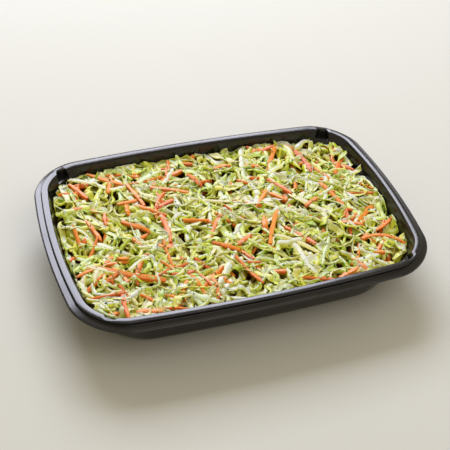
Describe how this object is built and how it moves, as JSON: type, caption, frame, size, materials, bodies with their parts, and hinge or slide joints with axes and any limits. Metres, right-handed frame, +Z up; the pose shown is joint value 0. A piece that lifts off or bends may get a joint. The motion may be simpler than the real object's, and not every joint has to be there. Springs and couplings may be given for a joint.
{
  "type": "tray of coleslaw",
  "caption": "Rectangular black plastic serving tray with bowed sides, a stepped rim and corner stacking pockets, filled with coleslaw of shredded cabbage and carrot.",
  "frame": {"origin": "centre of the tray's footprint, on the surface the tray stands on", "axes": "+X along the tray's long sides, +Y across it towards the far long side, +Z up out of the tray"},
  "size_m": [0.29, 0.2, 0.044],
  "materials": {
    "tray_plastic": "satin",
    "cabbage": "satin",
    "carrot": "satin",
    "herb": "matte"
  },
  "bodies": {
    "root": {"tray": "tray_plastic", "coleslaw": "cabbage"}
  },
  "joints": []
}
